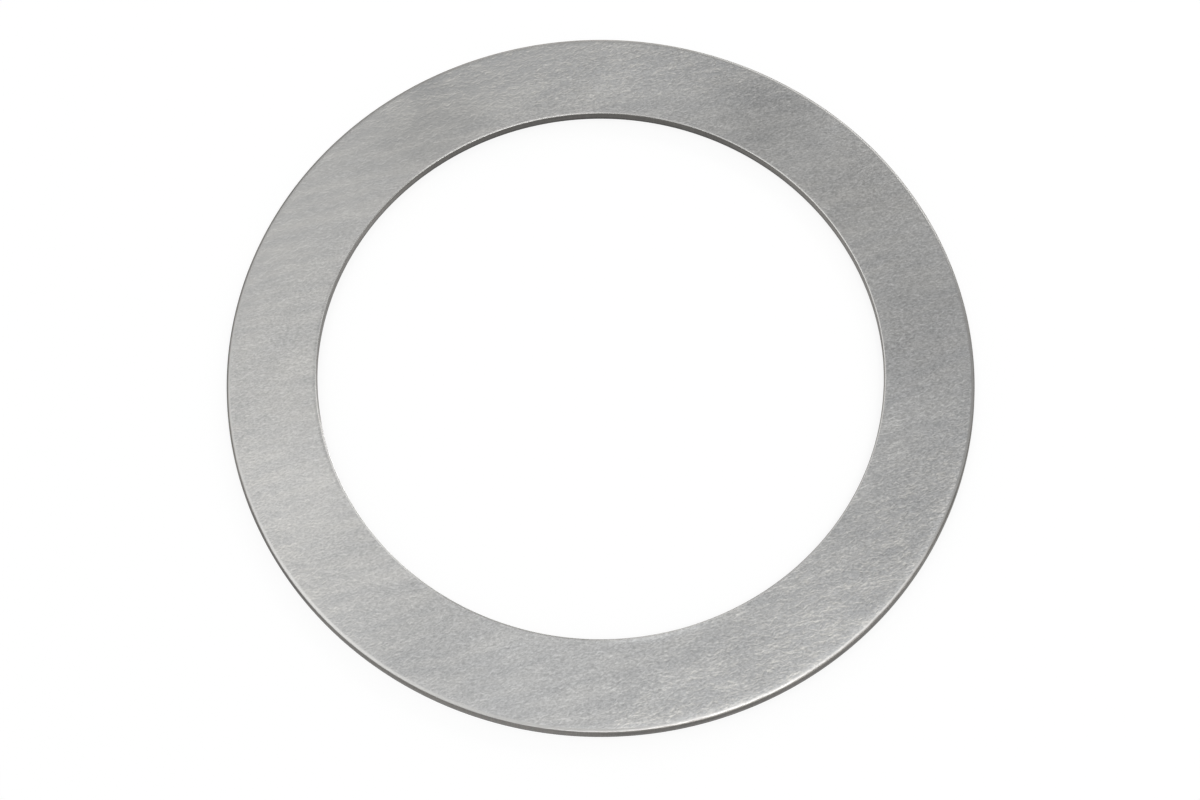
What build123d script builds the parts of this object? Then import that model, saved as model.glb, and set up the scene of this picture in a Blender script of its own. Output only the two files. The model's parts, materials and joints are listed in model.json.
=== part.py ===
"""Shim ring: one flat steel ring, pierced and then blanked from cold-rolled strip in a progressive die.

The ring lies as it rests, with the side that the punches entered up and its axis on +Z. The origin is the
centre of the underside, so the lower face is at height zero. All sizes are in millimetres.

Shearing leaves three zones on a wall, one after the other in the direction of the tear: the die roll, where
the face is drawn down in a soft shoulder; the burnished land, straight and at full size; and the fracture
zone, which falls back by the die clearance to an edge that tumbling has worn round. The bore is a pierced
hole, so its die roll is at the upper face. The outside is a blank, pushed down through the die, so its die
roll is at the underside.
"""
from build123d import *

import os

# Driving dimensions.
outer_diameter = 70.0   # over the burnished land of the outside edge
bore_diameter = 53.0    # over the burnished land of the bore
thickness = 1.3         # over the two flat faces

# Sheared edges. Strip of one temper shears in fixed shares of its thickness.
roll_width = 0.20       # how far from the wall the die roll starts to draw the face down
roll_share = 0.04       # depth of the die roll, as a share of the thickness
land_share = 0.38       # height of the burnished land, as a share of the thickness
die_clearance = 0.12    # how far the fracture zone falls back from the land, on each side
worn_width = 0.45       # how far from the wall tumbling starts to wear the torn edge down
worn_depth = 0.07       # how far down the wall that wear reaches

# Worked out from the sizes above.
outer_radius = outer_diameter / 2
bore_radius = bore_diameter / 2
roll_depth = thickness * roll_share
land_height = thickness * land_share


def sheared_wall(land_radius: float, outward: int, rolled_up: int) -> tuple[float, float]:
    """Draw one sheared wall, from its die roll to its worn edge.

    outward is 1 for the outside, whose metal lies within the wall, and -1 for the bore. rolled_up is 1 where
    the die roll is at the upper face and -1 where it is at the underside.
    Returns the radii at which the wall meets the rolled face and the torn face.
    """
    rolled_face, torn_face = (thickness, 0) if rolled_up > 0 else (0, thickness)
    land_start = rolled_face - rolled_up * roll_depth
    land_end = land_start - rolled_up * land_height
    wear_start = torn_face + rolled_up * worn_depth
    torn_radius = land_radius - outward * die_clearance
    roll_start = land_radius - outward * roll_width
    wear_end = torn_radius - outward * worn_width
    EllipticalCenterArc((roll_start, land_start), roll_width, roll_depth,
                        quarter(outward, rolled_up), arc_size=90)
    Line((land_radius, land_start), (land_radius, land_end))
    Line((land_radius, land_end), (torn_radius, wear_start))
    EllipticalCenterArc((wear_end, wear_start), worn_width, worn_depth,
                        quarter(outward, -rolled_up), arc_size=90)
    return roll_start, wear_end


def quarter(outward: int, upward: int) -> int:
    """Give the start angle of the quarter ellipse that bulges outward and upward."""
    return {(1, 1): 0, (-1, 1): 90, (-1, -1): 180, (1, -1): 270}[outward, upward]


def ring_section() -> Sketch:
    """Make the closed section of the ring, to the right of its axis."""
    with BuildSketch(Plane.XZ) as section:
        with BuildLine():
            bore_top, bore_bottom = sheared_wall(bore_radius, -1, 1)
            outer_bottom, outer_top = sheared_wall(outer_radius, 1, -1)
            Line((bore_top, thickness), (outer_top, thickness))
            Line((bore_bottom, 0), (outer_bottom, 0))
        make_face()
    return section.sketch


def shim_ring() -> Part:
    """Turn the section once round the axis."""
    with BuildPart() as ring:
        add(ring_section())
        revolve(axis=Axis.Z)
    ring.part.label = "shim_ring"
    return ring.part


os.makedirs("parts", exist_ok=True)
export_step(shim_ring(), "parts/shim_ring.step")
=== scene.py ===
"""Looks of the shim ring: one flat, blanked and tumbled steel ring on a plain white table."""
import json
import logging
import math
from dataclasses import dataclass, field, replace
from enum import Enum
from functools import reduce
from typing import Callable, Iterable

import bmesh
import bpy
from mathutils import Matrix, Vector


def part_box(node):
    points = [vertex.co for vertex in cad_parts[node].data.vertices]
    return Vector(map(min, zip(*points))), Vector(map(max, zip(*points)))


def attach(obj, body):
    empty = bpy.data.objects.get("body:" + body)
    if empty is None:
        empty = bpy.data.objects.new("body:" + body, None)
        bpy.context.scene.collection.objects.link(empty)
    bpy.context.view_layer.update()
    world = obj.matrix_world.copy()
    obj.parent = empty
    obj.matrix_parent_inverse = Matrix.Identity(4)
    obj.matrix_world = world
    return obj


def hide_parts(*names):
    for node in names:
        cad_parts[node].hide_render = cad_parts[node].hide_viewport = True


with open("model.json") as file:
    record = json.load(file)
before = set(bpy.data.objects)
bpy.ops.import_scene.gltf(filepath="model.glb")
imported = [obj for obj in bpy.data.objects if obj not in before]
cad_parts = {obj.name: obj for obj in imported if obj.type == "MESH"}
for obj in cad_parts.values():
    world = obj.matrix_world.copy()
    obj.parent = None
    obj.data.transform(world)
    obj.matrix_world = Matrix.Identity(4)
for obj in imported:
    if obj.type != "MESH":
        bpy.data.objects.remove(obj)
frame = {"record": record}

log = logging.getLogger("shim_ring")

MM = 0.001
NEAR = 0.01 * MM                    # how closely a point is found by its place
WELD = 0.002 * MM                   # points of the turned section that are nearer than this are one
BEYOND = 1 * MM                     # well past a face of the ring

Color = tuple[float, float, float]
Triple = tuple[float, float, float]


# Shader graph -------------------------


class Value:
    """One output socket, on which arithmetic adds Math nodes."""

    def __init__(self, graph: "Graph", socket: bpy.types.NodeSocket | None) -> None:
        """Keeps the graph and the socket, which the last node of a material or world lacks."""
        self.graph = graph
        self.socket = socket

    def _math(self, operation: str, *terms: "Value | float") -> "Value":
        """Adds a Math node on the given terms."""
        return self.graph.node("ShaderNodeMath", {"operation": operation}, dict(enumerate(terms)))

    def __add__(self, other: "Value | float") -> "Value":
        """Sum."""
        return self._math("ADD", self, other)

    __radd__ = __add__

    def __sub__(self, other: "Value | float") -> "Value":
        """Difference."""
        return self._math("SUBTRACT", self, other)

    def __rsub__(self, other: "Value | float") -> "Value":
        """Reflected difference."""
        return self._math("SUBTRACT", other, self)

    def __mul__(self, other: "Value | float") -> "Value":
        """Product."""
        return self._math("MULTIPLY", self, other)

    __rmul__ = __mul__

    def __truediv__(self, other: "Value | float") -> "Value":
        """Quotient."""
        return self._math("DIVIDE", self, other)

    def __rtruediv__(self, other: "Value | float") -> "Value":
        """Reflected quotient."""
        return self._math("DIVIDE", other, self)

    def least(self, other: "Value | float") -> "Value":
        """The smaller of two values."""
        return self._math("MINIMUM", self, other)

    def most(self, other: "Value | float") -> "Value":
        """The larger of two values."""
        return self._math("MAXIMUM", self, other)

    def rise(self, low: float, high: float) -> "Value":
        """A smooth step, which falls instead where low is above high.

        Args:
            low: value at which the step is 0.
            high: value at which the step is 1.

        Returns:
            0 to 1.
        """
        steps = {"Value": self, "From Min": min(low, high), "From Max": max(low, high),
                 "To Min": 0.0 if low < high else 1.0, "To Max": 1.0 if low < high else 0.0}
        return self.graph.node("ShaderNodeMapRange", {"interpolation_type": "SMOOTHSTEP"}, steps)


class Graph:
    """The node tree of one material or world."""

    def __init__(self, owner: bpy.types.Material | bpy.types.World) -> None:
        """Empties the owner's node tree.

        Args:
            owner: the material or world whose nodes are made.
        """
        owner.use_nodes = True
        self.tree = owner.node_tree
        self.tree.nodes.clear()

    def node(self, kind: str, settings: dict | None = None, sockets: dict | None = None,
             output: int | str = 0) -> Value:
        """Adds one node.

        Args:
            kind: the node's type.
            settings: the node's own settings, which are set before its sockets.
            sockets: constants or links by socket name or index.
            output: name or index of the socket that the result wraps.

        Returns:
            The output socket as a Value.
        """
        made = self.tree.nodes.new(kind)
        for name, setting in (settings or {}).items():
            setattr(made, name, setting)
        for key, given in (sockets or {}).items():
            if isinstance(given, Value):
                self.tree.links.new(given.socket, made.inputs[key])
            else:
                made.inputs[key].default_value = given
        return Value(self, made.outputs[output] if len(made.outputs) else None)

    def mix(self, factor: Value | float, first: Value | float, second: Value | float) -> Value:
        """Goes from the first number to the second by the factor."""
        return self.node("ShaderNodeMix", {"data_type": "FLOAT"}, {0: factor, 2: first, 3: second})

    def mix_color(self, factor: Value | float, first: Value | Color, second: Value | Color) -> Value:
        """Goes from the first colour to the second by the factor."""
        colors = [c if isinstance(c, Value) else (*c, 1.0) for c in (first, second)]
        return self.node("ShaderNodeMix", {"data_type": "RGBA"}, {0: factor, 6: colors[0], 7: colors[1]}, 2)

    def scale_color(self, color: Value | Color, amount: Value | float) -> Value:
        """Multiplies a colour by a number."""
        return self.node("ShaderNodeVectorMath", {"operation": "SCALE"}, {0: color, "Scale": amount})

    def vector(self, operation: str, *terms: Value | Triple, output: str = "Vector") -> Value:
        """Adds a Vector Math node with vectors or colours for terms."""
        return self.node("ShaderNodeVectorMath", {"operation": operation}, dict(enumerate(terms)), output)

    def towards(self, place: Value, degrees: float, low: float, high: float) -> Value:
        """Rises smoothly across the plane of the ring.

        Args:
            place: coordinates.
            degrees: direction of the rise, from +X.
            low: distance along it at which the result is 0.
            high: distance along it at which the result is 1.

        Returns:
            0 to 1.
        """
        angle = math.radians(degrees)
        heading = (math.cos(angle), math.sin(angle), 0.0)
        return self.vector("DOT_PRODUCT", place, heading, output="Value").rise(low, high)

    def turned(self, place: Value, degrees: float, stretch: Triple, offset: Triple = (0, 0, 0)) -> Value:
        """Coordinates turned about the ring's axis and then stretched.

        Args:
            place: coordinates to start from.
            degrees: direction, in the plane of the ring, in which the pattern's first axis runs.
            stretch: size of the pattern's unit along its own three axes, in the coordinates' unit.
            offset: shift of the pattern, in its own units.

        Returns:
            The pattern's coordinates.
        """
        spun = self.node("ShaderNodeMapping", {"vector_type": "POINT"},
                         {"Vector": place, "Rotation": (0, 0, -math.radians(degrees))})
        return self.node("ShaderNodeMapping", {"vector_type": "POINT"},
                         {"Vector": spun, "Scale": tuple(1 / s for s in stretch), "Location": offset})

    def noise(self, place: Value, detail: float = 0.0, output: str = "Fac") -> Value:
        """Noise about 0.5, or about grey from the Color output; detail is how many octaves are added."""
        return self.node("ShaderNodeTexNoise", {"noise_dimensions": "3D"},
                         {"Vector": place, "Scale": 1.0, "Detail": detail}, output)

    def swirled(self, place: Value, size: float, reach: float, seed: float) -> Value:
        """Coordinates carried about by noise.

        Args:
            place: coordinates to start from.
            size: size of the swirls.
            reach: twice the farthest that they carry a point.
            seed: which pattern of swirls.

        Returns:
            The coordinates.
        """
        shift = (7.3 * seed, 1.7 * seed, 0)     # far enough that two seeds' swirls have nothing in common
        swirl = self.noise(self.turned(place, 0, (size,) * 3, shift), detail=1.0, output="Color")
        centred = self.vector("SUBTRACT", swirl, (0.5, 0.5, 0.5))
        return self.vector("ADD", place, self.vector("MULTIPLY", centred, (reach,) * 3))


# Section ------------------------------


class Zone(Enum):
    """The zones that blanking and tumbling leave on the edges of the ring."""

    ROLL = "die roll"
    LAND = "burnished land"
    FRACTURE = "fracture zone"
    WORN = "worn edge"
    LIP = "steep part of the die roll or of the worn edge"


@dataclass(frozen=True)
class Section:
    """The section that piercing the bore and blanking the outside leave, the same upside down.

    The bore's die roll is at the upper face and the outside's is at the underside. On each wall the
    burnished land follows, and then the fracture zone, which falls back to a worn edge.
    """

    outer_radius: float
    bore_radius: float
    thickness: float
    roll_width: float = 0.20 * MM
    roll_share: float = 0.04        # depth of the die roll, as a share of the thickness
    land_share: float = 0.38        # height of the burnished land, as a share of the thickness
    die_clearance: float = 0.12 * MM
    worn_width: float = 0.45 * MM
    worn_depth: float = 0.07 * MM

    @property
    def roll_depth(self) -> float:
        """Depth of the die roll."""
        return self.thickness * self.roll_share

    @property
    def land_end(self) -> float:
        """How far from the rolled face the land ends and the fracture zone starts."""
        return self.roll_depth + self.thickness * self.land_share

    @property
    def tear_end(self) -> float:
        """How far from the rolled face the fracture zone ends and the worn edge starts."""
        return self.thickness - self.worn_depth

    @property
    def band(self) -> float:
        """Width of the ring's faces."""
        return self.outer_radius - self.bore_radius

    @property
    def middle(self) -> float:
        """Radius of the middle of the band."""
        return (self.outer_radius + self.bore_radius) / 2

    def down(self, place: Vector) -> float:
        """How far a point of the section is from the rolled face of its wall."""
        return place.z if place.x > self.middle else self.thickness - place.z

    def inset(self, place: Vector) -> float:
        """How far a point of the section is from the land of the nearer wall, along the radius."""
        return min(self.outer_radius - place.x, place.x - self.bore_radius)

    def beside_wall(self, place: Vector) -> bool:
        """Tells whether a point of the section is on a wall or just inside it."""
        return self.inset(place) < 2 * self.die_clearance

    def midway(self, place: Vector) -> bool:
        """Tells whether a point of the section is about halfway between the walls."""
        return abs(place.x - self.middle) < self.band / 8

    def on_wall(self, place: Vector) -> bool:
        """Tells whether a point of the section is on a wall, between its die roll and its worn rim."""
        return self.roll_depth < self.down(place) < self.tear_end and self.beside_wall(place)

    def on_worn_rim(self, place: Vector) -> bool:
        """Tells whether a point of the section is on the worn rim of one of the faces."""
        return self.down(place) > self.tear_end and self.inset(place) < self.worn_width

    def span(self, zone: Zone) -> Triple:
        """Tells where a zone of the walls lies.

        Args:
            zone: any zone but the lip.

        Returns:
            How far from the rolled face it starts and ends, and how far in from the land it reaches.
        """
        return {
            Zone.ROLL: (-BEYOND, self.roll_depth, self.roll_width),
            Zone.LAND: (self.roll_depth, self.land_end, self.die_clearance),
            Zone.FRACTURE: (self.land_end, self.tear_end, 2 * self.die_clearance),
            Zone.WORN: (self.tear_end, self.thickness + BEYOND, self.die_clearance + self.worn_width),
        }[zone]


# Steel --------------------------------


@dataclass(frozen=True)
class Spot:
    """Where a shaded point of the ring is, in metres."""

    place: Value                    # object coordinates
    height: Value                   # above the table
    radius: Value                   # from the ring's axis
    down: Value                     # from the rolled face of the nearer wall
    from_outside: Value             # in from the land of the outside
    from_bore: Value                # out from the land of the bore

    @property
    def inset(self) -> Value:
        """Distance from the land of the nearer wall."""
        return self.from_outside.least(self.from_bore)


@dataclass(frozen=True)
class Side:
    """A side of the ring, towards which something comes up smoothly."""

    heading: float                  # degrees from X
    start: float                    # distance along the heading at which it starts to come up
    full: float                     # distance along the heading at which it has its whole share
    share: float = 1.0

    def amount(self, place: Value) -> Value:
        """Its amount at a place, from 0 to its whole share."""
        return place.graph.towards(place, self.heading, self.start, self.full) * self.share


def total(sides: Iterable[Side], place: Value) -> Value:
    """The amounts of several sides at a place, added up."""
    return sum(side.amount(place) for side in sides)


def strongest(sides: Iterable[Side], place: Value) -> Value:
    """The largest of the amounts of several sides at a place."""
    return reduce(Value.most, (side.amount(place) for side in sides))


@dataclass(frozen=True)
class Finish:
    """Colour and gloss of one zone of the edges, and the sides where painted highlight brightens it or
    painted shade darkens it.
    """

    color: Color
    roughness: float
    # sides of painted highlight where the share is above 0, of painted shade where it is below
    painted_light_sides: tuple[Side, ...] = ()

    def shaded(self, place: Value, shade: Value | float) -> Value:
        """Colour at a place.

        Args:
            place: coordinates.
            shade: brightness before the painted highlights and shade.

        Returns:
            The colour with its painted highlights and shade.
        """
        for painted_light_side in self.painted_light_sides:
            shade = shade * (1 + painted_light_side.amount(place))
        return place.graph.scale_color(self.color, shade)


@dataclass(frozen=True)
class Patch:
    """A place where the rolled face is painted slightly lighter or darker, with no clear border: painted
    highlight and shade for the face's uneven reflections.
    """

    centre: tuple[float, float]
    reach: float                    # distance from the centre at which the patch has faded out
    change: float                   # share of the brightness added in the centre
    core: float = 0.1               # share of the reach within which the change is whole

    def shade(self, place: Value) -> Value:
        """Brightness added at a place.

        Args:
            place: coordinates.

        Returns:
            From 0 to the patch's whole change.
        """
        flat = place.graph.vector("MULTIPLY", place, (1.0, 1.0, 0.0))
        apart = place.graph.vector("DISTANCE", flat, (*self.centre, 0.0), output="Value")
        return apart.rise(self.reach, self.core * self.reach) * self.change


@dataclass(frozen=True)
class Strip:
    """A strip along an edge with painted highlight (share above 0) or painted shade (below 0) on one side of
    the ring.
    """

    side: Side                      # where it shows, with the share of the brightness added
    fade: tuple[float, float]       # distances from the edge at which it is whole and at which it ends
    onset: tuple[float, float] | None = None    # distances at which it starts and is whole, if not at once

    def shade(self, place: Value, inset: Value) -> Value:
        """Brightness added at a place.

        Args:
            place: coordinates.
            inset: distance from the edge.

        Returns:
            From 0 to the strip's whole change.
        """
        whole, end = self.fade
        shown = inset.rise(end, whole)
        if self.onset is not None:
            shown = inset.rise(*self.onset) * shown
        return shown * self.side.amount(place)


@dataclass(frozen=True)
class Marks:
    """One layer of the fine, curled marks that tumbling leaves on rolled steel. Lengths are in metres."""

    headings: tuple[float, ...]     # directions of the marks in the plane of the ring, degrees from +X
    length: float
    width: float
    swirl: tuple[float, float]      # size of the swirls that bend the marks, and how far they carry them
    band: tuple[float, float]       # levels of the noise at which a mark starts and is at its deepest
    detail: float = 0.0
    seed: float = 1.0

    def depth(self, place: Value) -> Value:
        """Depth of the marks.

        Args:
            place: coordinates.

        Returns:
            From 0, with 1 for each heading at the most.
        """
        g = place.graph
        bent = g.swirled(place, *self.swirl, self.seed)
        stretch = (self.length, self.width, self.width)
        depth = 0.0
        for index, heading in enumerate(self.headings, 1):
            shift = (2.7 * index * self.seed, 4.1 * index, 0)   # keeps the headings' noises apart
            depth = depth + g.noise(g.turned(bent, heading, stretch, shift), self.detail).rise(*self.band)
        return depth

    def shadow(self, place: Value, step: float) -> Value:
        """The same marks, moved across their general direction, for the painted shadow on their dark side.

        Args:
            place: coordinates.
            step: how far they are moved.

        Returns:
            From 0, with 1 for each heading at the most.
        """
        across = math.radians(sum(self.headings) / len(self.headings) + 90)
        offset = (step * math.cos(across), step * math.sin(across), 0.0)
        return self.depth(place.graph.vector("ADD", place, offset))


@dataclass(frozen=True)
class Contrast:
    """How much one layer of the grain lightens or darkens the steel."""

    neutral: float                  # depth of the marks that leaves the brightness alone
    usual: float                    # brightness added for each 1 of depth
    extra: float                    # what the sides that change the layer add to that

    def shade(self, depth: Value, sides: Value) -> Value:
        """Brightness that marks of a depth add, where the sides that change the layer count 0 to 1."""
        return (depth - self.neutral) * (self.usual + sides * self.extra)


@dataclass(frozen=True)
class Layers:
    """The layers of the faces' grain that the colour, the relief and the gloss share."""

    worked_and_lit: Value                   # how strongly the grain shows, 0 to 1: deeper relief, and colour contrast painted stronger for grazing light
    calm_and_dim: Value                     # how far the grain is weakened, 0 to 1: shallower pits, and their colour contrast painted weaker where light doesn't graze
    pits: Value
    strokes: Value
    clouds: Value


@dataclass(frozen=True)
class RolledFace:
    """Finish of the two faces: pits, light strokes with a painted shadow on one side, a few long streaks and
    clouds, and patches and strips of painted highlight and shade.
    """

    warm: Color = (0.510, 0.503, 0.486)
    cool: Color = (0.500, 0.503, 0.506)
    roughness: float = 0.40
    pit_roughness: float = 0.1      # from the smoothest pits to the roughest
    pits: Marks = Marks((14,), 0.28 * MM, 0.14 * MM, (0.35 * MM, 0.45 * MM), (0.0, 1.0), seed=9)
    strokes: Marks = Marks((-5, 14, 33), 1.6 * MM, 0.16 * MM, (0.75 * MM, 0.6 * MM), (0.53, 0.76))
    streaks: Marks = Marks((11, 23), 2.8 * MM, 0.14 * MM, (1.0 * MM, 0.4 * MM), (0.61, 0.73), 0.5, 2)
    clouds: Marks = Marks((15,), 5.5 * MM, 1.1 * MM, (3.0 * MM, 0.8 * MM), (0.2, 0.8), 3.0, 5)
    shadow_step: float = 0.11 * MM  # from a stroke to its dark side

    # Sides where the grain's relief is deeper and its colour contrast is painted stronger, standing in for
    # light grazing the face.
    worked_and_lit: tuple[Side, ...] = (
        Side(-48, 20 * MM, 32 * MM),
        Side(95, 23 * MM, 32 * MM),
        Side(-142, 26 * MM, 34 * MM, 0.4),
    )
    # Sides where the pits are shallower and their colour contrast is painted weaker, standing in for light
    # that doesn't graze the face there.
    calm_and_dim: tuple[Side, ...] = (
        Side(132, 22 * MM, 30 * MM),
        Side(-118, 27 * MM, 33 * MM, 0.3),
        Side(45, 20 * MM, 29 * MM, 0.32),
    )
    calm_relief: float = 0.5        # share of the pits' depth that is gone where the grain is weakened
    even: Side = Side(0, 24 * MM, 32 * MM)      # where the clouds are weaker

    pit_contrast: Contrast = Contrast(0.5, 0.42, -0.26)         # painted weaker where the grain is weakened
    stroke_contrast: Contrast = Contrast(0.3, 0.10, 0.07)       # lighter strokes, partly painted highlight; stronger where the grain shows strongly
    shadow_contrast: Contrast = Contrast(0.3, -0.03, -0.05)     # painted shadow on the strokes' dark side; likewise stronger there
    cloud_contrast: Contrast = Contrast(0.5, 0.13, -0.06)       # weaker on the even side
    streak_contrast: float = 0.26

    streaked_outside: Side = Side(-62, 23 * MM, 32 * MM)
    streaked_bore: Side = Side(-38, 20 * MM, 26 * MM)
    streaked_reach: tuple[float, float] = (1 * MM, 4 * MM)      # from the bore, where the last ones fade
    streaked_worked_and_lit: float = 0.5    # share of the streaks where the grain shows strongly
    streaked_clouds: tuple[float, float] = (0.42, 0.57)         # levels between which streaks come up

    warmth: float = 0.67            # 0 for the cool colour and 1 for the warm one
    cool_sides: tuple[Side, ...] = (
        Side(-55, -3 * MM, 19 * MM, -0.38),
        Side(82, 20 * MM, 32 * MM, -0.30),
    )
    mark_warmth: float = 0.5
    cloud_warmth: float = 0.5

    drift: Triple = (5 * MM, 7 * MM, 3)     # size, reach and seed of the swirls in the patches' borders
    # painted highlights (change above 0) and painted shade (below 0) for the face's uneven reflections
    patches: tuple[Patch, ...] = (
        Patch((-15.3 * MM, -26.6 * MM), 9 * MM, -0.09),
        Patch((-28.5 * MM, -12.5 * MM), 9 * MM, 0.09),
        Patch((-16.0 * MM, 26.2 * MM), 9 * MM, -0.13),
        Patch((2.7 * MM, 30.0 * MM), 7 * MM, 0.08),
        Patch((16.3 * MM, 26.0 * MM), 8 * MM, -0.15),
        Patch((30.0 * MM, 4.5 * MM), 10 * MM, -0.10),
        Patch((21.0 * MM, -28.0 * MM), 12 * MM, 0.10),
        Patch((24.0 * MM, 17.0 * MM), 8 * MM, -0.08),
        Patch((9.0 * MM, -32.0 * MM), 6 * MM, 0.07),
        Patch((-21.0 * MM, 22.0 * MM), 7 * MM, -0.03),
    )
    # painted highlight: a wide soft strip along the front right of the outside, beside the worn edge's glint
    outside_strips: tuple[Strip, ...] = (
        Strip(Side(-54, 23.5 * MM, 31.5 * MM, 0.08), (0.4 * MM, 1.6 * MM)),
        Strip(Side(-54, 23.5 * MM, 31.5 * MM, 0.12), (0.6 * MM, 1.0 * MM)),
    )
    # painted highlight along the front of the bore, and painted shade as a thin dark line along the bore's
    # die roll on the left
    bore_strips: tuple[Strip, ...] = (
        Strip(Side(-78, 26.0 * MM, 26.9 * MM, 0.10), (0.4 * MM, 0.9 * MM)),
        Strip(Side(-78, 26.0 * MM, 26.9 * MM, 0.20), (0.3 * MM, 0.5 * MM)),
        Strip(Side(184, 23.5 * MM, 26.0 * MM, -0.14), (0.33 * MM, 0.46 * MM), (0.15 * MM, 0.21 * MM)),
    )

    def layers(self, place: Value) -> Layers:
        """Builds the layers that the colour, the relief and the gloss share."""
        return Layers(strongest(self.worked_and_lit, place), strongest(self.calm_and_dim, place),
                      self.pits.depth(place), self.strokes.depth(place), self.clouds.depth(place))

    def relief(self, layers: Layers) -> Value:
        """Height of the grain, as a share of the relief's whole height."""
        return layers.pits * (1 - self.calm_relief * layers.calm_and_dim) + layers.strokes * layers.worked_and_lit

    def gloss(self, layers: Layers) -> Value:
        """Roughness of the faces, which changes a little with the pits."""
        return self.roughness + (layers.pits - self.pit_contrast.neutral) * self.pit_roughness

    def _streaks(self, spot: Spot, layers: Layers) -> Value:
        """Depth of the long streaks, which lie in clusters on a few sides of the ring.

        Args:
            spot: where the point is.
            layers: layers of the grain.

        Returns:
            From 0, with 1 for each heading at the most.
        """
        whole, end = self.streaked_reach
        by_bore = self.streaked_bore.amount(spot.place) * spot.from_bore.rise(end, whole)
        streaked = self.streaked_outside.amount(spot.place).most(by_bore)
        clustered = self.streaks.depth(spot.place) * layers.clouds.rise(*self.streaked_clouds)
        return clustered * streaked.most(layers.worked_and_lit * self.streaked_worked_and_lit)

    def tint(self, spot: Spot, layers: Layers) -> Value:
        """Colour of the faces.

        Args:
            spot: where the point is.
            layers: layers of the grain.

        Returns:
            The colour.
        """
        place = spot.place
        g = place.graph
        streaks = self._streaks(spot, layers)
        shaded = self.strokes.shadow(place, self.shadow_step)
        drifting = g.swirled(place, *self.drift)
        shades = (self.pit_contrast.shade(layers.pits, layers.calm_and_dim)
                  + self.stroke_contrast.shade(layers.strokes, layers.worked_and_lit)
                  + self.shadow_contrast.shade(shaded, layers.worked_and_lit)
                  + self.cloud_contrast.shade(layers.clouds, self.even.amount(place))
                  + streaks * self.streak_contrast
                  + sum(patch.shade(drifting) for patch in self.patches)
                  + sum(strip.shade(place, spot.from_outside) for strip in self.outside_strips)
                  + sum(strip.shade(place, spot.from_bore) for strip in self.bore_strips))
        marks = (layers.strokes + streaks - self.stroke_contrast.neutral) * layers.worked_and_lit
        warmth = (self.warmth + total(self.cool_sides, place) + marks * self.mark_warmth
                  + (layers.clouds - self.cloud_contrast.neutral) * self.cloud_warmth)
        return g.scale_color(g.mix_color(warmth, self.cool, self.warm), 1 + shades)


@dataclass(frozen=True)
class Lip:
    """How far the dark of the walls, partly painted shade, reaches round the rolled and the worn edges."""

    worn_reach: float = 0.9         # share of the worn depth that it takes
    worn_sides: tuple[Side, ...] = (    # sides that add to that share or take from it
        Side(-40, 32 * MM, 34.4 * MM, 0.10),
        Side(0, 31 * MM, 34 * MM, -0.10),
        Side(45, 28 * MM, 33 * MM, -0.20),
    )
    kept_sides: tuple[Side, Side] = (   # what both together take from it where they meet
        Side(-90, 14 * MM, 24 * MM),
        Side(-140, 14 * MM, 28 * MM, -0.4),
    )
    worn_fade: tuple[float, float] = (0.55, 0.93)       # shares of its reach between which it fades
    roll_fade: tuple[float, float] = (0.3, 0.6)         # shares of the die roll's depth, likewise
    bright_roll: Side = Side(218, 23.3 * MM, 25.3 * MM, 0.7)    # share of the die roll's depth kept bright, out of the lip's painted shade
    inner_fade: tuple[float, float] = (3, 3.5)          # in from the land, in die clearances

    def mask(self, spot: Spot, cut: Section) -> Value:
        """Where the lip lies.

        Args:
            spot: where the point is.
            cut: the ring's section.

        Returns:
            1 in the lip and 0 outside it.
        """
        front, left = (side.amount(spot.place) for side in self.kept_sides)
        reach = (self.worn_reach + total(self.worn_sides, spot.place) + front * left) * cut.worn_depth
        worn = 1 - ((spot.down - cut.tear_end) / reach).rise(*self.worn_fade)
        bright = self.bright_roll.amount(spot.place) * cut.roll_depth
        low, high = (share * cut.roll_depth for share in self.roll_fade)
        whole, end = (times * cut.die_clearance for times in self.inner_fade)
        return worn * (spot.down - bright).rise(low, high) * spot.inset.rise(end, whole)


@dataclass(frozen=True)
class WallGrain:
    """Fine banding and upright scores of the walls, with painted shade at the foot, and darker far in the
    bore.
    """

    bands: Triple = (5 * MM, 5 * MM, 0.10 * MM)
    scores: Triple = (0.12 * MM, 0.12 * MM, 1.2 * MM)
    band_contrast: float = 0.9
    score_contrast: float = 0.5
    foot: float = 0.42              # brightness of the painted shade at the table
    foot_share: float = 0.5         # share of the thickness over which the foot fades out
    far_bore: Side = Side(92, 16 * MM, 25 * MM, 0.42)

    def shade(self, spot: Spot, cut: Section) -> Value:
        """Brightness of the walls.

        Args:
            spot: where the point is.
            cut: the ring's section.

        Returns:
            About 1 on the upper half of a wall.
        """
        g = spot.place.graph
        bands, scores = (g.noise(g.turned(spot.place, 0, size), 1.0) for size in (self.bands, self.scores))
        # painted shade at the foot, fading out up the wall
        lit = self.foot + (1 - self.foot) * spot.height.rise(0.0, self.foot_share * cut.thickness)
        grain = (bands - 0.5) * self.band_contrast + (scores - 0.5) * self.score_contrast
        in_bore = spot.radius.rise(cut.middle, cut.bore_radius)
        return (lit + grain) * (1 - self.far_bore.amount(spot.place) * in_bore)


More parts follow.
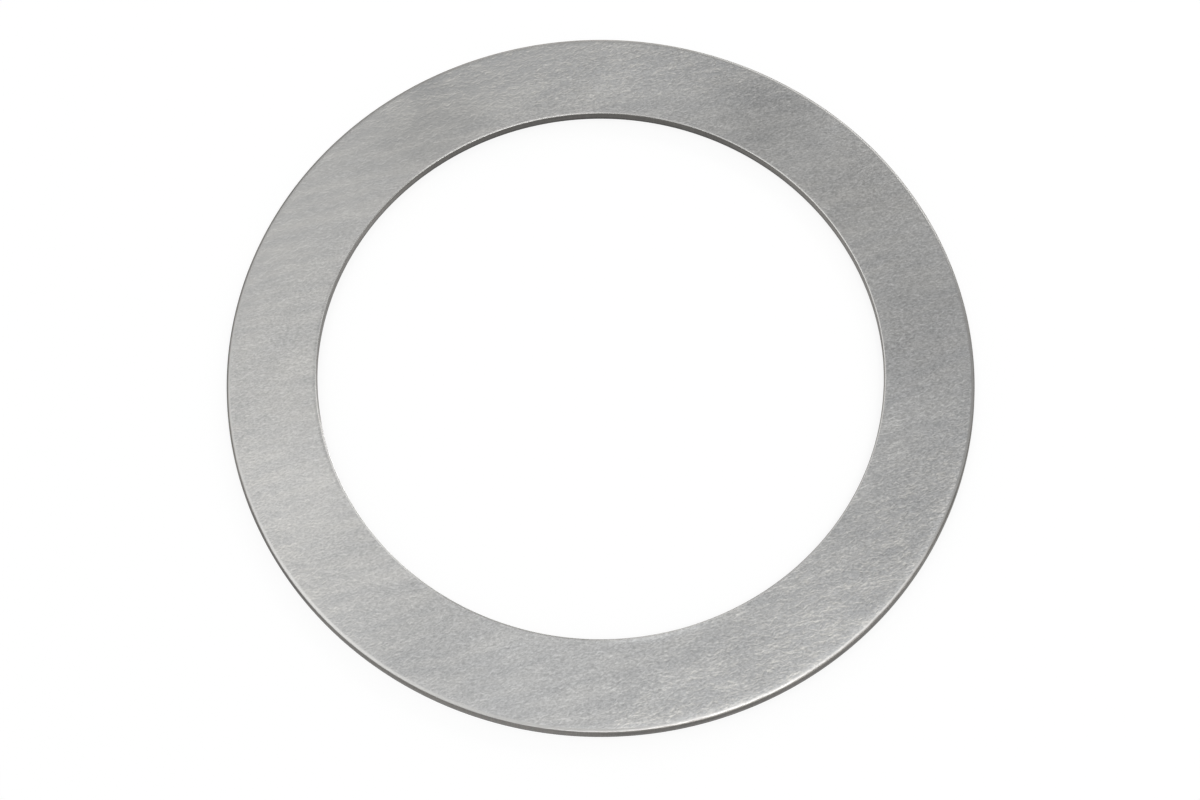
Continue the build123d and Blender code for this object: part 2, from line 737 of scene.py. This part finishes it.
@dataclass(frozen=True)
class SteelSkin:
    """The material of the whole ring: the rolled faces, and one finish for each zone of the edges.

    Each zone covers the ones before it where two of them meet.
    """

    section: Section
    face: RolledFace = RolledFace()
    lip: Lip = Lip()
    walls: WallGrain = WallGrain()
    edges: dict[Zone, Finish] = field(default_factory=lambda: {
        # Each finish's sides paint highlights (shares above 0) and shade (below 0) on its zone, standing in
        # for reflections of the softboxes and of the dark room.
        Zone.WORN: Finish((0.56, 0.555, 0.54), 0.31, (
            Side(-6, 31 * MM, 34.5 * MM, -0.15),
            Side(222, 29 * MM, 34 * MM, -0.06),
            Side(95, 24 * MM, 32 * MM, -0.10),
            Side(-57, 30 * MM, 33.8 * MM, 0.62),
        )),
        Zone.ROLL: Finish((0.56, 0.555, 0.54), 0.26, (
            Side(208, 22.5 * MM, 25.5 * MM, 0.75),
            Side(-75, 25.2 * MM, 26.3 * MM, 0.28),
            Side(112, 24 * MM, 26 * MM, 0.45),
        )),
        # The lip, land and fracture zone are dark partly as sheared steel is, and partly by painted shade for
        # the dark surroundings that the walls reflect.
        Zone.LIP: Finish((0.26, 0.248, 0.232), 0.40),
        Zone.LAND: Finish((0.19, 0.1805, 0.169), 0.50, (
            Side(-68, 29 * MM, 34 * MM, -0.15),
            Side(-150, 33.6 * MM, 34.9 * MM, -0.35),
        )),
        Zone.FRACTURE: Finish((0.19, 0.181, 0.170), 0.60, (
            Side(-68, 29 * MM, 34 * MM, -0.15),
            Side(-150, 33.6 * MM, 34.9 * MM, -0.40),
            Side(-104, 33.5 * MM, 34.8 * MM, 0.15),
        )),
    })
    worn_glint: Strip = Strip(Side(45, 30 * MM, 33.5 * MM, 0.5), (0.18 * MM, 0.24 * MM),
                              (0.07 * MM, 0.11 * MM))
    blur: float = 0.015 * MM        # half the height over which two zones of a wall blend
    edge_fade: tuple[float, float] = (0.6, 0.9)     # shares of a zone's reach between which it fades
    relief_height: float = 0.001 * MM

    def make(self) -> bpy.types.Material:
        """Builds the material.

        Returns:
            The finished material.
        """
        material = bpy.data.materials.new("tumbled_steel")
        g = Graph(material)
        spot = self._locate(g)
        layers = self.face.layers(spot.place)
        masks = {zone: self._mask(spot, zone) for zone in self.edges}
        color = self._color(spot, self.face.tint(spot, layers), masks)
        roughness = self._roughness(self.face.gloss(layers), masks)
        normal = g.node("ShaderNodeBump", None, {"Strength": 1.0, "Distance": self.relief_height,
                                                 "Height": self.face.relief(layers)})
        steel = g.node("ShaderNodeBsdfPrincipled", {"distribution": "MULTI_GGX"},
                       {"Base Color": color, "Metallic": 1.0, "Roughness": roughness, "Normal": normal})
        g.node("ShaderNodeOutputMaterial", None, {"Surface": steel})
        return material

    def _locate(self, g: Graph) -> Spot:
        """Works out where the shaded point is.

        Args:
            g: graph of the material.

        Returns:
            The spot.
        """
        cut = self.section
        place = g.node("ShaderNodeTexCoord", output="Object")
        height = g.node("ShaderNodeSeparateXYZ", None, {0: place}, "Z")
        radius = g.vector("LENGTH", g.vector("MULTIPLY", place, (1.0, 1.0, 0.0)), output="Value")
        by_outside = radius.rise(cut.middle - NEAR, cut.middle + NEAR)
        down = g.mix(by_outside, cut.thickness - height, height)
        return Spot(place, height, radius, down, cut.outer_radius - radius, radius - cut.bore_radius)

    def _mask(self, spot: Spot, zone: Zone) -> Value:
        """Where a zone of the edges lies.

        Args:
            spot: where the point is.
            zone: one of the zones.

        Returns:
            1 in the zone and 0 outside it.
        """
        if zone is Zone.LIP:
            return self.lip.mask(spot, self.section)
        top, foot, reach = self.section.span(zone)
        whole, end = (share * reach for share in self.edge_fade)
        return (spot.down.rise(top - self.blur, top + self.blur)
                * spot.down.rise(foot + self.blur, foot - self.blur) * spot.inset.rise(end, whole))

    def _color(self, spot: Spot, face: Value, masks: dict[Zone, Value]) -> Value:
        """Colour of the whole ring: the faces, their rims and the walls.

        Args:
            spot: where the point is.
            face: colour of the faces.
            masks: where the zones of the edges lie.

        Returns:
            The colour.
        """
        g = spot.place.graph
        color = face
        for zone in (Zone.WORN, Zone.ROLL):
            color = g.mix_color(masks[zone], color, self.edges[zone].shaded(spot.place, 1.0))
        from_torn = spot.from_outside - self.section.die_clearance
        glint = self.worn_glint.shade(spot.place, from_torn) * masks[Zone.WORN]
        color = g.scale_color(color, 1 + glint)
        shade = self.walls.shade(spot, self.section)
        for zone in (Zone.LIP, Zone.LAND, Zone.FRACTURE):
            color = g.mix_color(masks[zone], color, self.edges[zone].shaded(spot.place, shade))
        return color

    def _roughness(self, face: Value, masks: dict[Zone, Value]) -> Value:
        """Roughness of the steel in all its zones.

        Args:
            face: roughness of the faces.
            masks: where the zones of the edges lie.

        Returns:
            The roughness.
        """
        value = face
        for zone, finish in self.edges.items():
            value = face.graph.mix(masks[zone], value, finish.roughness)
        return value


# Ring ---------------------------------


class Element(Enum):
    """What can be selected of a mesh."""

    POINT = "VERT"
    EDGE = "EDGE"


class Push(Enum):
    """Which way a surface is uneven."""

    UPWARD = "Z"
    OUTWARD = "NORMAL"


def select_elements(piece: bpy.types.Object, wanted: Callable[[Vector], bool],
                    kind: Element = Element.POINT) -> int:
    """Selects what lies at a place, in edit mode.

    Args:
        piece: the mesh object in edit mode.
        wanted: test on the place of a point or of an edge's middle.
        kind: points or edges.

    Returns:
        How many were selected.
    """
    bpy.ops.mesh.select_mode(type=kind.value)
    bpy.ops.mesh.select_all(action="DESELECT")
    mesh = bmesh.from_edit_mesh(piece.data)
    if kind is Element.POINT:
        found = [point for point in mesh.verts if wanted(point.co)]
    else:
        found = [edge for edge in mesh.edges if wanted((edge.verts[0].co + edge.verts[1].co) / 2)]
    for element in found:
        element.select_set(True)
    mesh.select_flush_mode()
    bmesh.update_edit_mesh(piece.data)
    return len(found)


def turned_back(place: Vector) -> Vector:
    """A point of the ring, turned back into the plane of the section."""
    return Vector((place.xy.length, 0, place.z))


@dataclass(frozen=True)
class Unevenness:
    """How uneven shearing or tumbling leaves one part of the surface."""

    part: str
    size: float                     # of the unevenness along the surface
    depth: float                    # from its deepest to its highest point
    push: Push

    def add(self, piece: bpy.types.Object, wanted: Callable[[Vector], bool]) -> None:
        """Makes the part uneven.

        Args:
            piece: the ring in object mode.
            wanted: test on a point's place that tells whether it is in the part.
        """
        group = piece.vertex_groups.new(name=self.part)
        bpy.ops.object.mode_set(mode="EDIT")
        found = select_elements(piece, wanted)
        bpy.ops.object.vertex_group_assign()
        bpy.ops.object.mode_set(mode="OBJECT")
        grain = bpy.data.textures.new(self.part, "CLOUDS")
        grain.noise_scale = self.size
        grain.noise_depth = 1
        displace = piece.modifiers.new(self.part, "DISPLACE")
        displace.texture = grain
        displace.texture_coords = "LOCAL"
        displace.vertex_group = group.name
        displace.direction = self.push.value
        displace.strength = self.depth
        displace.mid_level = 0.5
        bpy.ops.object.modifier_apply(modifier=displace.name)
        bpy.data.textures.remove(grain)
        log.info("%s: %d points uneven by %.3f mm", self.part, found, self.depth / MM)


@dataclass
class ShimRing:
    """The ring: a flat band with its sheared section, turned once round its axis."""

    section: Section
    roll_steps: int = 6
    worn_steps: int = 10
    face_cuts: int = 5
    underside_cuts: int = 1
    land_cuts: int = 1
    fracture_cuts: int = 3
    sectors: int = 30
    sector_steps: int = 60
    rim_wear: Unevenness = Unevenness("worn_rim", 1.2 * MM, 0.009 * MM, Push.UPWARD)
    wall_tears: Unevenness = Unevenness("walls", 0.8 * MM, 0.006 * MM, Push.OUTWARD)

    def build(self) -> bpy.types.Object:
        """Makes and dresses the ring.

        Returns:
            The finished piece.
        """
        cut = self.section
        piece = self._draw_band()
        self._tear_walls(piece)
        self._round_corners(piece, 0.0, cut.roll_width, cut.roll_depth, self.roll_steps)
        self._round_corners(piece, cut.thickness, cut.worn_width, cut.worn_depth, self.worn_steps)
        self._divide_section(piece)
        self._turn(piece)
        self.rim_wear.add(piece, lambda co: cut.on_worn_rim(turned_back(co)))
        self.wall_tears.add(piece, lambda co: cut.on_wall(turned_back(co)))
        piece.name = "ring_steel"
        piece.data.materials.append(SteelSkin(cut).make())
        return piece

    def _draw_band(self) -> bpy.types.Object:
        """Draws the band's section as one face in the XZ plane.

        Returns:
            The piece, in edit mode.
        """
        centre = (self.section.middle, 0, self.section.thickness / 2)
        bpy.ops.object.select_all(action="DESELECT")
        bpy.ops.mesh.primitive_plane_add(size=1, location=centre, rotation=(math.pi / 2, 0, 0))
        piece = bpy.context.object
        piece.scale = (self.section.band, self.section.thickness, 1)
        bpy.ops.object.transform_apply(location=True, rotation=True, scale=True)
        bpy.ops.object.mode_set(mode="EDIT")
        return piece

    def _tear_walls(self, piece: bpy.types.Object) -> None:
        """Marks the end of the land on both walls and sets their torn corners back by the die clearance.

        Args:
            piece: the section in edit mode.
        """
        cut = self.section
        half = cut.thickness / 2
        for side, wall in ((-1, cut.bore_radius), (1, cut.outer_radius)):
            select_elements(piece, lambda co: abs(co.x - wall) < NEAR, Element.EDGE)
            bpy.ops.mesh.subdivide(number_cuts=1)
            select_elements(piece, lambda co: abs(co.x - wall) < NEAR and abs(co.z - half) < NEAR)
            bpy.ops.transform.translate(value=(0, 0, side * (cut.land_end - half)))
            select_elements(piece, lambda co: abs(co.x - wall) < NEAR and cut.down(co) > cut.thickness - NEAR)
            bpy.ops.transform.translate(value=(-side * cut.die_clearance, 0, 0))

    def _round_corners(self, piece: bpy.types.Object, down: float, width: float, depth: float,
                       steps: int) -> None:
        """Rounds two corners to a quarter ellipse, by a round bevel of the stretched section.

        Args:
            piece: the section in edit mode.
            down: how far the corners are from the rolled face of their wall.
            width: reach along the face.
            depth: reach down the wall.
            steps: steps of each quarter.
        """
        stretch = width / depth
        tall = replace(self.section, thickness=self.section.thickness * stretch)
        bpy.ops.mesh.select_all(action="SELECT")
        self._scale_height(stretch)
        found = select_elements(piece, lambda co: abs(tall.down(co) - down * stretch) < NEAR
                                and tall.beside_wall(co))
        bpy.ops.mesh.bevel(affect="VERTICES", offset=width, segments=steps, profile=0.5)
        bpy.ops.mesh.select_all(action="SELECT")
        self._scale_height(depth / width)
        log.info("section: %d corners rounded", found)

    @staticmethod
    def _scale_height(factor: float) -> None:
        """Scales what is selected in height only, away from the underside."""
        bpy.ops.transform.resize(value=(1, 1, factor), center_override=(0, 0, 0))

    def _divide_section(self, piece: bpy.types.Object) -> None:
        """Leaves the outline alone and divides its long edges.

        Args:
            piece: the section in edit mode.
        """
        bpy.ops.mesh.select_mode(type="FACE")
        bpy.ops.mesh.select_all(action="SELECT")
        bpy.ops.mesh.delete(type="ONLY_FACE")
        cut = self.section
        land = (cut.roll_depth + cut.land_end) / 2
        fracture = (cut.land_end + cut.tear_end) / 2
        cuts = {
            "face": (lambda co: cut.midway(co) and co.z > cut.thickness - NEAR, self.face_cuts),
            "underside": (lambda co: cut.midway(co) and co.z < NEAR, self.underside_cuts),
            "land": (lambda co: abs(cut.down(co) - land) < NEAR, self.land_cuts),
            "fracture": (lambda co: abs(cut.down(co) - fracture) < NEAR, self.fracture_cuts),
        }
        for name, (wanted, count) in cuts.items():
            found = select_elements(piece, wanted, Element.EDGE)
            bpy.ops.mesh.subdivide(number_cuts=count)
            log.info("section: %s has %d edges, cut %d times", name, found, count)

    def _turn(self, piece: bpy.types.Object) -> None:
        """Turns the section once round the ring's axis and closes the surface.

        Args:
            piece: the section in edit mode, left in object mode as the whole ring.
        """
        angle = math.tau / self.sectors
        bpy.ops.mesh.select_all(action="SELECT")
        bpy.ops.mesh.spin(steps=self.sector_steps, angle=angle, center=(0, 0, 0), axis=(0, 0, 1))
        bpy.ops.object.mode_set(mode="OBJECT")
        bpy.ops.object.empty_add(location=(0, 0, 0), rotation=(0, 0, angle))
        turntable = bpy.context.object
        bpy.context.view_layer.objects.active = piece
        copies = piece.modifiers.new("sectors", "ARRAY")
        copies.count = self.sectors
        copies.use_relative_offset = False
        copies.use_object_offset = True
        copies.offset_object = turntable
        bpy.ops.object.modifier_apply(modifier=copies.name)
        bpy.data.objects.remove(turntable)
        bpy.ops.object.mode_set(mode="EDIT")
        bpy.ops.mesh.select_all(action="SELECT")
        bpy.ops.mesh.remove_doubles(threshold=WELD)
        bpy.ops.mesh.normals_make_consistent(inside=False)
        bpy.ops.object.mode_set(mode="OBJECT")
        bpy.ops.object.shade_smooth()


# Studio -------------------------------


@dataclass(frozen=True)
class Softbox:
    """One rectangular diffuse light, aimed at the ring."""

    name: str
    centre: Triple
    width: float
    height: float
    level: float                    # brightness of its face

    def hang(self) -> bpy.types.Object:
        """Adds the light.

        Returns:
            The light object.
        """
        bpy.ops.object.light_add(type="AREA", location=self.centre)
        lamp = bpy.context.object
        lamp.name = self.name
        lamp.rotation_euler = (-Vector(self.centre)).to_track_quat("-Z", "Y").to_euler()
        lamp.data.shape = "RECTANGLE"
        lamp.data.size = self.width
        lamp.data.size_y = self.height
        lamp.data.energy = self.level * math.pi * self.width * self.height
        lamp.visible_camera = False
        return lamp


@dataclass
class Studio:
    """White table, softboxes, room light and camera. Lens and sensor are in millimetres."""

    distance: float = 0.1925        # from the camera to the ring's centre
    elevation: float = 67.706       # of the camera above the table, degrees
    aim: Triple = (-0.00006, -0.0032, 0.0)
    roll: float = -0.167            # of the camera about its line of sight, degrees
    lens: float = 61.39
    sensor: float = 36.0
    clip: tuple[float, float] = (0.01, 20.0)    # nearest and farthest that the camera sees
    table_side: float = 4.0
    table_cuts: int = 4
    table_color: float = 0.2
    table_glow: float = 0.85
    room_level: float = 0.39
    walls_end: float = 0.38         # sine of the elevation at which the white walls start to fade
    walls_fade: float = 0.2         # how much higher the sine is where they have faded out
    softboxes: tuple[Softbox, ...] = (
        Softbox("front_right_softbox", (0.18, -0.24, 0.74), 0.34, 0.31, 3.65),
        Softbox("right_softbox", (0.30, 0.0, 0.74), 0.34, 0.31, 0.43),
        Softbox("left_softbox", (-0.30, 0.0, 0.74), 0.34, 0.31, 1.42),
        Softbox("back_left_softbox", (-0.15, 0.26, 0.74), 0.34, 0.31, 0.93),
        Softbox("back_softbox", (0.0, 0.73, 0.33), 0.46, 0.31, 1.6),
        Softbox("back_right_softbox", (0.44, 0.52, 0.42), 0.36, 0.14, 3.0),
    )

    def build(self) -> None:
        """Adds everything that isn't the ring."""
        self._lay_table()
        self._light_room()
        for box in self.softboxes:
            box.hang()
        self._place_camera()
        log.info("studio: table, %d softboxes and camera", len(self.softboxes))

    def _lay_table(self) -> None:
        """Adds the white table top."""
        bpy.ops.object.select_all(action="DESELECT")
        bpy.ops.mesh.primitive_plane_add(size=self.table_side, location=(0, 0, 0))
        table = bpy.context.object
        table.name = "table_top"
        bpy.ops.object.mode_set(mode="EDIT")
        bpy.ops.mesh.subdivide(number_cuts=self.table_cuts)
        bpy.ops.object.mode_set(mode="OBJECT")
        material = bpy.data.materials.new("white_table")
        g = Graph(material)
        matt = g.node("ShaderNodeBsdfDiffuse", None, {"Color": (self.table_color,) * 3 + (1.0,)})
        glow = g.node("ShaderNodeEmission", None, {"Strength": self.table_glow})
        dark = g.node("ShaderNodeEmission", None, {"Strength": 0.0})
        lit = g.node("ShaderNodeMixShader", None, {0: self._seen(g), 1: dark, 2: glow})
        both = g.node("ShaderNodeAddShader", None, {0: matt, 1: lit})
        g.node("ShaderNodeOutputMaterial", None, {"Surface": both})
        table.data.materials.append(material)

    @staticmethod
    def _seen(g: Graph) -> Value:
        """Tells what the camera sees directly, in a mirror or through glass.

        Args:
            g: graph to add to.

        Returns:
            1 for what it sees and 0 for what only lights the scene.
        """
        path = g.node("ShaderNodeLightPath", output="Is Camera Ray")
        outputs = path.socket.node.outputs
        glossy, through = (Value(g, outputs[name]) for name in ("Is Glossy Ray", "Is Transmission Ray"))
        return path.most(glossy).most(through)

    def _light_room(self) -> None:
        """Gives the room an even grey light, and low down white walls for the camera and the metal to see."""
        world = bpy.data.worlds.new("studio_room")
        bpy.context.scene.world = world
        g = Graph(world)
        direction = g.node("ShaderNodeTexCoord", output="Generated")
        height = g.node("ShaderNodeSeparateXYZ", None, {0: direction}, "Z")
        walls = self._seen(g) * height.rise(self.walls_end + self.walls_fade, self.walls_end)
        strength = g.mix(walls, self.room_level, 1.0)
        room = g.node("ShaderNodeBackground", None, {"Color": (1.0, 1.0, 1.0, 1.0), "Strength": strength})
        g.node("ShaderNodeOutputWorld", None, {"Surface": room})

    def _place_camera(self) -> None:
        """Adds the camera above and in front of the ring."""
        tilt = math.radians(self.elevation)
        stand = (0, -self.distance * math.cos(tilt), self.distance * math.sin(tilt))
        bpy.ops.object.camera_add(location=stand)
        camera = bpy.context.object
        camera.name = "camera"
        sight = Vector(self.aim) - camera.location
        turn = sight.to_track_quat("-Z", "Y").to_matrix() @ Matrix.Rotation(math.radians(self.roll), 3, "Z")
        camera.rotation_euler = turn.to_euler()
        camera.data.sensor_width = self.sensor
        camera.data.lens = self.lens
        camera.data.clip_start, camera.data.clip_end = self.clip
        bpy.context.scene.camera = camera
        bpy.context.scene.view_settings.view_transform = "Standard"


# Assembly -----------------------------


def mount_radius(name: str) -> float:
    """Radius of one of the record's mounts, in metres."""
    mount = next(m for m in frame["record"]["mounts"] if m["name"] == name)
    return mount["dims"]["r_mm"] * MM


def main() -> None:
    """Builds the ring and the studio in order."""
    logging.basicConfig(level=logging.INFO, format="%(name)s: %(message)s")
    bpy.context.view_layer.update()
    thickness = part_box("shim_ring")[1].z
    section = Section(mount_radius("outside_edge"), mount_radius("bore"), thickness)
    ring = ShimRing(section).build()
    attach(ring, "root")
    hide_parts("shim_ring")
    log.info("%s: %d faces", ring.name, len(ring.data.polygons))
    Studio().build()


if __name__ == "__main__":
    main()
